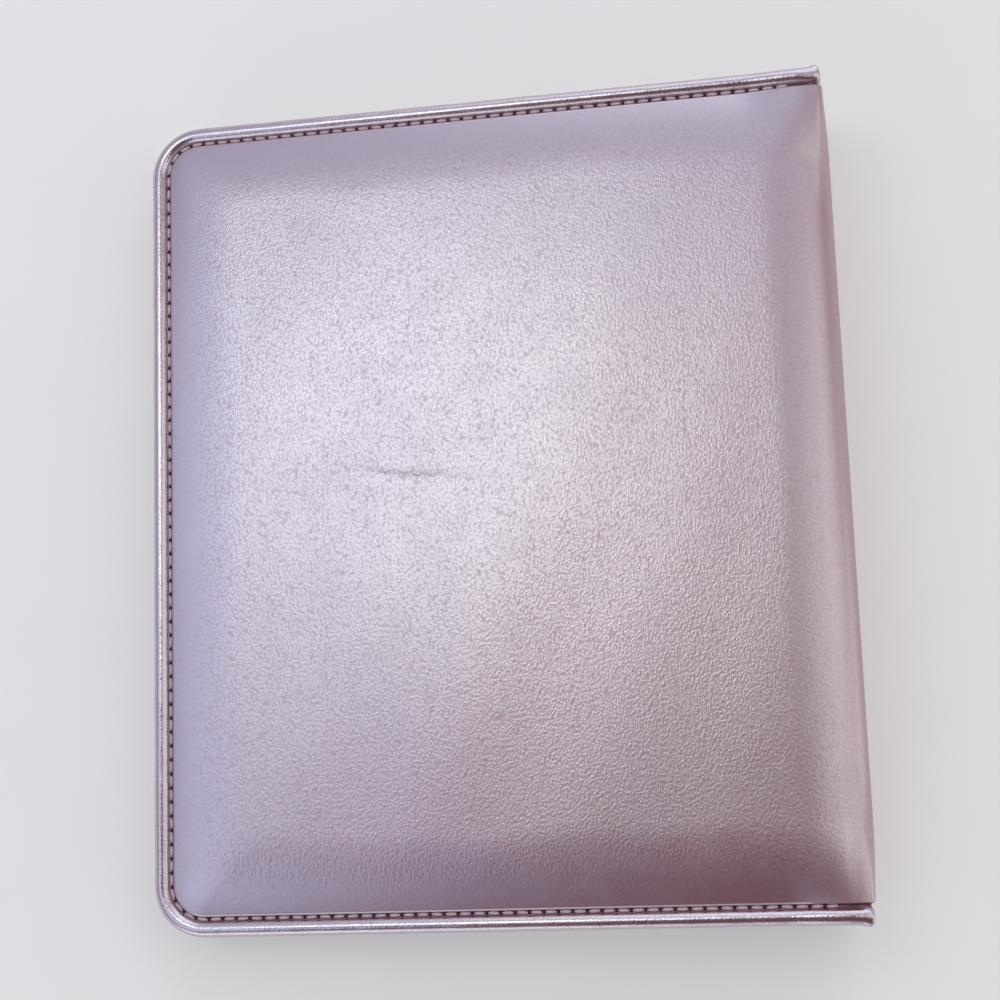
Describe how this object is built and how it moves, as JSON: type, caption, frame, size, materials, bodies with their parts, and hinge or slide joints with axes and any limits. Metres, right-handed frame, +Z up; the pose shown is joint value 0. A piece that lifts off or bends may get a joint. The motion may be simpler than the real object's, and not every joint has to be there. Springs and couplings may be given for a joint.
{
  "type": "leather ring planner",
  "caption": "Padded leather ring planner, closed, with a rolled and stitched edge, snap rings on the spine, tabbed dividers and punched pages.",
  "frame": {"origin": "on the outer face of the front cover, below the middle of the closed planner", "axes": "+X towards the spine, +Y towards the head, +Z up through the closed planner"},
  "size_m": [0.1988, 0.235, 0.0451],
  "materials": {
    "leather": "pearl metallic, fine grain",
    "foam": "soft foam",
    "board": "grey board",
    "lining": "smooth matt lining",
    "thread": "twisted thread",
    "steel": "nickel plated sheet",
    "ring_wire": "polished plating",
    "paper": "uncoated",
    "divider": "matt card"
  },
  "bodies": {
    "front_cover": {"front_leather": "leather", "front_foam": "foam", "front_board": "board", "front_lining": "lining", "front_pocket": "lining", "front_edge_roll": "leather", "front_stitching": "thread"},
    "spine": {"spine_leather": "leather", "spine_foam": "foam", "spine_board": "board", "spine_lining": "lining", "spine_rolls": "leather", "spine_stitching": "thread", "front_fold": "leather", "front_fold_lining": "lining", "front_fold_rolls": "leather", "back_fold": "leather", "back_fold_lining": "lining", "back_fold_rolls": "leather", "ring_casing": "steel", "rivets": "steel", "lever_pins": "steel"},
    "back_cover": {"back_leather": "leather", "back_foam": "foam", "back_board": "board", "back_lining": "lining", "back_pocket": "lining", "back_edge_roll": "leather", "back_stitching": "thread"},
    "back_rings": {"back_leaf": "steel", "back_half_ring_1": "ring_wire", "back_half_ring_2": "ring_wire", "back_half_ring_3": "ring_wire", "back_half_ring_4": "ring_wire", "back_half_ring_5": "ring_wire", "back_half_ring_6": "ring_wire"},
    "front_rings": {"front_leaf": "steel", "front_half_ring_1": "ring_wire", "front_half_ring_2": "ring_wire", "front_half_ring_3": "ring_wire", "front_half_ring_4": "ring_wire", "front_half_ring_5": "ring_wire", "front_half_ring_6": "ring_wire"},
    "upper_lever": {"upper_lever": "steel"},
    "lower_lever": {"lower_lever": "steel"},
    "front_pages": {"pages_1": "paper", "divider_1": "divider", "pages_2": "paper"},
    "back_pages": {"divider_2": "divider", "pages_3": "paper", "divider_3": "divider", "pages_4": "paper"}
  },
  "joints": [
    {"name": "spine_fold", "type": "hinge", "parent": "front_cover", "child": "spine", "pos_m": [0.09795, 0, 0.00188], "axis": [0, 1, 0], "range_deg": [0, 93.92], "deforming": ["front_fold", "front_fold_lining", "front_fold_rolls"]},
    {"name": "back_cover_fold", "type": "hinge", "parent": "spine", "child": "back_cover", "pos_m": [0.09506, 0, 0.04401], "axis": [0, 1, 0], "range_deg": [0, 93.92], "deforming": ["back_fold", "back_fold_lining", "back_fold_rolls"]},
    {"name": "ring_open", "type": "hinge", "parent": "spine", "child": "back_rings", "pos_m": [0.08921, 0, 0.03107], "axis": [0, 1, 0], "range_deg": [0, 12]},
    {"name": "front_ring_open", "type": "hinge", "parent": "spine", "child": "front_rings", "pos_m": [0.09039, 0, 0.0139], "axis": [0, 1, 0], "range_deg": [-12, 0]},
    {"name": "upper_lever_press", "type": "hinge", "parent": "spine", "child": "upper_lever", "pos_m": [0.0886, 0.084, 0.0224], "axis": [-0.0684, 0, 0.9977], "range_deg": [-13, 0]},
    {"name": "lower_lever_press", "type": "hinge", "parent": "spine", "child": "lower_lever", "pos_m": [0.0886, -0.084, 0.0224], "axis": [-0.0684, 0, 0.9977], "range_deg": [0, 13]},
    {"name": "front_pages_turn", "type": "hinge", "parent": "spine", "child": "front_pages", "pos_m": [0.0807, 0, 0.02186], "axis": [0, 1, 0], "range_deg": [-93, 0]},
    {"name": "back_pages_turn", "type": "hinge", "parent": "spine", "child": "back_pages", "pos_m": [0.0807, 0, 0.02186], "axis": [0, 1, 0], "range_deg": [0, 93]}
  ],
  "couplings": [
    {"joint": "front_ring_open", "follows": "ring_open", "ratio": -1},
    {"joint": "upper_lever_press", "follows": "ring_open", "ratio": -1.08},
    {"joint": "lower_lever_press", "follows": "ring_open", "ratio": 1.08},
    {"joint": "front_pages_turn", "follows": "spine_fold", "ratio": -0.98},
    {"joint": "back_pages_turn", "follows": "back_cover_fold", "ratio": 0.98}
  ]
}
